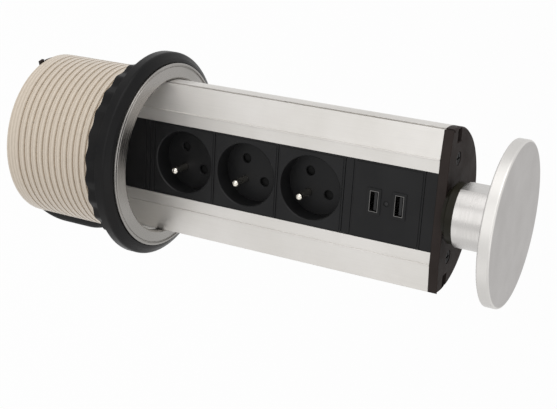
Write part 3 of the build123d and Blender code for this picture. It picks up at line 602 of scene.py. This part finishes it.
@dataclass
class ChargingModule:
    """The module with the two flat ports."""

    def dress(self, wardrobe: Wardrobe, finishes: Finishes) -> None:
        """Puts the finishes on.

        Args:
            wardrobe: Puts them on nodes.
            finishes: The finishes.
        """
        wardrobe.dress(finishes.module, "charger_front", "charger_base", "charger_components")
        wardrobe.dress(finishes.shell, "charger_port_shells")
        wardrobe.dress(finishes.tongue, "charger_port_tongues", "charger_light")
        wardrobe.dress(finishes.board, "charger_board")


@dataclass
class PullKnob:
    """Boss, neck and disc, with their screws."""

    def dress(self, wardrobe: Wardrobe, finishes: Finishes) -> None:
        """Puts the finishes on.

        Args:
            wardrobe: Puts them on nodes.
            finishes: The finishes.
        """
        wardrobe.dress(finishes.boss, "knob_boss")
        wardrobe.dress(finishes.neck, "knob_neck")
        wardrobe.dress(finishes.disc, "knob_disc")
        wardrobe.dress(finishes.zinc, "knob_screws")


@dataclass
class SupplyCord:
    """The power cord: down out of the gland, into a tied coil behind the sleeve, and on to its plug.

    Its places and sizes are in millimetres, and its length is in metres.
    """

    start: Point = (0.0, 24.0, -92.2)
    lead: tuple[Point, ...] = (
        (0.0, 0.0, 0.0), (0.0, 0.0, -27.5), (13.5, 7.0, -50.0), (37.0, 18.5, -62.0), (74.0, 36.5, -63.0),
        (89.0, 44.0, -45.5), (89.0, 44.0, -22.0),
    )
    tail: tuple[Point, ...] = (
        (0.0, 0.0, 0.0), (0.0, 0.0, -17.5), (9.0, 5.5, -33.0), (26.0, 12.5, -42.5), (44.0, 12.5, -42.5),
    )
    diameter: float = 8.0
    length: float = 1.454
    coil_centre: Point = (39.0, 68.0, -106.0)
    coil_radius: float = 50.0
    coil_step: float = 4.35
    layer_gap: float = 8.7
    halves_in: int = 4
    end_length: float = 8.0
    points_per_half: int = 6
    steps_round: int = 6
    steps_along: int = 10
    body: str = "tower"
    slot: str = "black_rubber"

    def coil_route(self) -> list[Vector]:
        """The control points of the coil's turns: inwards through one layer and outwards through the other.

        Returns:
            The points in millimetres.
        """
        middle_x, layer_y, middle_z = self.coil_centre
        radius, centre, side = self.coil_radius, middle_x, 1
        swell = 1 / math.cos(math.pi / (2 * self.points_per_half))
        found = []
        for half in range(2 * self.halves_in + 1):
            climbs = half == self.halves_in
            rise = self.layer_gap if climbs else 0.0
            for k in range(self.points_per_half):
                angle = math.pi * (k + 0.5) / self.points_per_half
                ease = (1 - math.cos(angle)) / 2
                x = centre + side * radius * math.cos(angle) * swell
                z = middle_z + side * radius * math.sin(angle) * swell
                found.append(Vector((x, layer_y + rise * ease, z)))
            edge = centre - side * radius
            radius += self.coil_step if half >= self.halves_in else -self.coil_step
            centre = edge + side * radius
            side, layer_y = -side, layer_y + rise
        return found

    def route(self) -> list[Vector]:
        """The whole cord's control points.

        Returns:
            The points in metres.
        """
        begin = Vector(self.start)
        points = [begin + Vector(p) for p in self.lead]
        points += self.coil_route()
        middle_x, layer_y, middle_z = self.coil_centre
        finish = Vector((middle_x - self.coil_radius, layer_y + self.layer_gap, middle_z - self.end_length))
        points += [finish + Vector(p) for p in self.tail]
        return [p * MM for p in points]

    def build(self, wardrobe: Wardrobe, finishes: Finishes) -> bpy.types.Object:
        """Lays the cord as one smooth spline.

        Args:
            wardrobe: Puts its finish on.
            finishes: The finishes.

        Returns:
            The cord.
        """
        points = self.route()
        curve = bpy.data.curves.new("power_cord", "CURVE")
        curve.dimensions = "3D"
        curve.bevel_depth = self.diameter / 2 * MM
        curve.bevel_resolution = self.steps_round
        curve.resolution_u = self.steps_along
        curve.use_fill_caps = True
        spline = curve.splines.new("NURBS")
        spline.points.add(len(points) - 1)
        for knot, point in zip(spline.points, points):
            knot.co = (*point, 1.0)
        spline.order_u = 3
        spline.use_endpoint_u = True
        cord = bpy.data.objects.new("power_cord", curve)
        bpy.context.scene.collection.objects.link(cord)
        wardrobe.paint(cord, finishes.rubber)
        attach(cord, self.body)
        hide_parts("supply_cord", "supply_cord_coil", "supply_cord_tail")
        log.info("power_cord: %d control points", len(points))
        return cord

    def dress(self, wardrobe: Wardrobe, finishes: Finishes) -> None:
        """Puts the finishes on the gland, tie, plug and inner length.

        Args:
            wardrobe: Puts them on nodes.
            finishes: The finishes.
        """
        wardrobe.dress(finishes.cap, "cord_gland", "cord_tie")
        wardrobe.dress(finishes.rubber, "plug_body", "cord_inner_length")
        wardrobe.dress(finishes.nickel, "plug_pins", "plug_earth_clips")


@dataclass(frozen=True)
class Lamp:
    """A soft square lamp: where it stands, what it points at, its side in metres and its power in watts."""

    name: str
    place: Point
    aim: Point
    size: float
    power: float

    def build(self) -> None:
        """Hangs the lamp and turns it to what it lights."""
        data = bpy.data.lights.new(self.name, "AREA")
        data.size = self.size
        data.energy = self.power
        lamp = bpy.data.objects.new(self.name, data)
        bpy.context.scene.collection.objects.link(lamp)
        lamp.location = self.place
        lamp.rotation_mode = "QUATERNION"
        lamp.rotation_quaternion = (Vector(self.aim) - Vector(self.place)).to_track_quat("-Z", "Y")


@dataclass
class Studio:
    """Camera, lamps, floor and background.

    The key lamp is a large one on the upper side of the picture. Weaker ones stand in front, above
    and below.
    """

    camera_place: Point = (-0.1955, -0.5889, 0.3858)
    camera_right: Point = (-0.0562, 0.4609, 0.8857)
    camera_up: Point = (-0.9496, 0.2494, -0.1900)
    lens: float = 71.006
    sensor_width: float = 36.0
    near: float = 0.05
    far: float = 50.0
    lamps: tuple[Lamp, ...] = (
        Lamp("key", place=(-1.5, -0.5, 0.5), aim=(0, 0, 0.08), size=1.4, power=10),
        Lamp("front", place=(-0.5, -1.7, 0.3), aim=(0, 0, 0.08), size=1.4, power=6),
        Lamp("top", place=(0.3, -0.5, 1.8), aim=(0, 0, 0.1), size=1.2, power=3),
        Lamp("low", place=(1.3, -1.2, 0.2), aim=(0, 0, 0.05), size=1.2, power=2),
    )
    white: Colour = (1.0, 1.0, 1.0)
    floor_z: float = -0.74
    floor_size: float = 12.0
    floor_colour: Colour = (0.9, 0.9, 0.9)
    floor_roughness: float = 0.9
    floor_seen_white: float = 0.96
    soft_light: float = 0.62
    seen_light: float = 1.0

    def build(self) -> None:
        """Sets the studio up."""
        self._camera()
        for lamp in self.lamps:
            lamp.build()
        self._floor()
        self._world()
        bpy.context.scene.view_settings.view_transform = "Standard"

    def _camera(self) -> None:
        """Places the camera at the photograph's viewing angle."""
        data = bpy.data.cameras.new("camera")
        data.lens = self.lens
        data.sensor_width = self.sensor_width
        data.sensor_fit = "HORIZONTAL"
        data.clip_start = self.near
        data.clip_end = self.far
        camera = bpy.data.objects.new("camera", data)
        bpy.context.scene.collection.objects.link(camera)
        right, up = Vector(self.camera_right).normalized(), Vector(self.camera_up)
        up = (up - right * up.dot(right)).normalized()
        turn = Matrix((right, up, right.cross(up))).transposed().to_4x4()
        camera.matrix_world = Matrix.Translation(self.camera_place) @ turn
        bpy.context.scene.camera = camera

    def _seen(self, tree: bpy.types.NodeTree, share: float) -> Socket:
        """Tells the rays that see the white background itself: those of the camera, gloss and glass.

        Args:
            tree: The node tree that it is for.
            share: The value for those rays. It is 0 for the others.

        Returns:
            The value.
        """
        path = tree.nodes.new("ShaderNodeLightPath")
        found = path.outputs["Is Camera Ray"]
        for name in ("Is Glossy Ray", "Is Transmission Ray"):
            both = tree.nodes.new("ShaderNodeMath")
            both.operation = "MAXIMUM"
            tree.links.new(found, both.inputs[0])
            tree.links.new(path.outputs[name], both.inputs[1])
            found = both.outputs[0]
        part = tree.nodes.new("ShaderNodeMath")
        part.operation = "MULTIPLY"
        tree.links.new(found, part.inputs[0])
        part.inputs[1].default_value = share
        return part.outputs[0]

    def _white(self, tree: bpy.types.NodeTree, kind: str, strength: float) -> Socket:
        """Adds a shader that gives white light of itself.

        Args:
            tree: The node tree that it is for.
            kind: The shader's node type.
            strength: How strong the light is.

        Returns:
            The shader's output.
        """
        node = tree.nodes.new(kind)
        node.inputs["Color"].default_value = (*self.white, 1)
        node.inputs["Strength"].default_value = strength
        return node.outputs[0]

    def _blend(self, tree: bpy.types.NodeTree, share: Socket, one: Socket, other: Socket) -> Socket:
        """Mixes two shaders.

        Args:
            tree: The node tree that it is for.
            share: How much of the second.
            one: The first shader.
            other: The second shader.

        Returns:
            The mixed shader's output.
        """
        mix = tree.nodes.new("ShaderNodeMixShader")
        for number, source in enumerate((share, one, other)):
            tree.links.new(source, mix.inputs[number])
        return mix.outputs[0]

    def _floor(self) -> None:
        """A plain pale floor that keeps the object's shadow."""
        mesh = bpy.data.meshes.new("floor")
        shape = bmesh.new()
        bmesh.ops.create_grid(shape, x_segments=1, y_segments=1, size=self.floor_size / 2)
        bmesh.ops.translate(shape, vec=(0, 0, self.floor_z), verts=shape.verts)
        shape.to_mesh(mesh)
        shape.free()
        floor = bpy.data.objects.new("floor", mesh)
        bpy.context.scene.collection.objects.link(floor)
        paint = Recipe("floor")
        paint.constants(Roughness=self.floor_roughness, Specular_IOR_Level=0.0)
        paint.shader.inputs["Base Color"].default_value = (*self.floor_colour, 1)
        tree = paint.tree
        white = self._white(tree, "ShaderNodeEmission", self.seen_light)
        share = self._seen(tree, self.floor_seen_white)
        mixed = self._blend(tree, share, paint.shader.outputs["BSDF"], white)
        tree.links.new(mixed, paint.output.inputs["Surface"])
        mesh.materials.append(paint.material)

    def _world(self) -> None:
        """Soft light from all round, and plain white where it is seen."""
        world = bpy.data.worlds.new("studio")
        bpy.context.scene.world = world
        world.use_nodes = True
        tree = world.node_tree
        tree.nodes.clear()
        soft = self._white(tree, "ShaderNodeBackground", self.soft_light)
        seen = self._white(tree, "ShaderNodeBackground", self.seen_light)
        mixed = self._blend(tree, self._seen(tree, 1.0), soft, seen)
        output = tree.nodes.new("ShaderNodeOutputWorld")
        tree.links.new(mixed, output.inputs["Surface"])


def main() -> None:
    """Loads the frame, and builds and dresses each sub-assembly."""
    logging.basicConfig(level=logging.INFO, format="%(message)s")
    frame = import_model()
    wardrobe = Wardrobe(frame)
    finishes = Finishes()
    Studio().build()
    cord = SupplyCord()
    cord.build(wardrobe, finishes)
    cord.dress(wardrobe, finishes)
    DeskMounting().dress(wardrobe, finishes)
    Tower().dress(wardrobe, finishes)
    for number in (1, 2, 3):
        EarthedSocket(number).dress(wardrobe, finishes)
    ChargingModule().dress(wardrobe, finishes)
    PullKnob().dress(wardrobe, finishes)


if __name__ == "__main__":
    main()
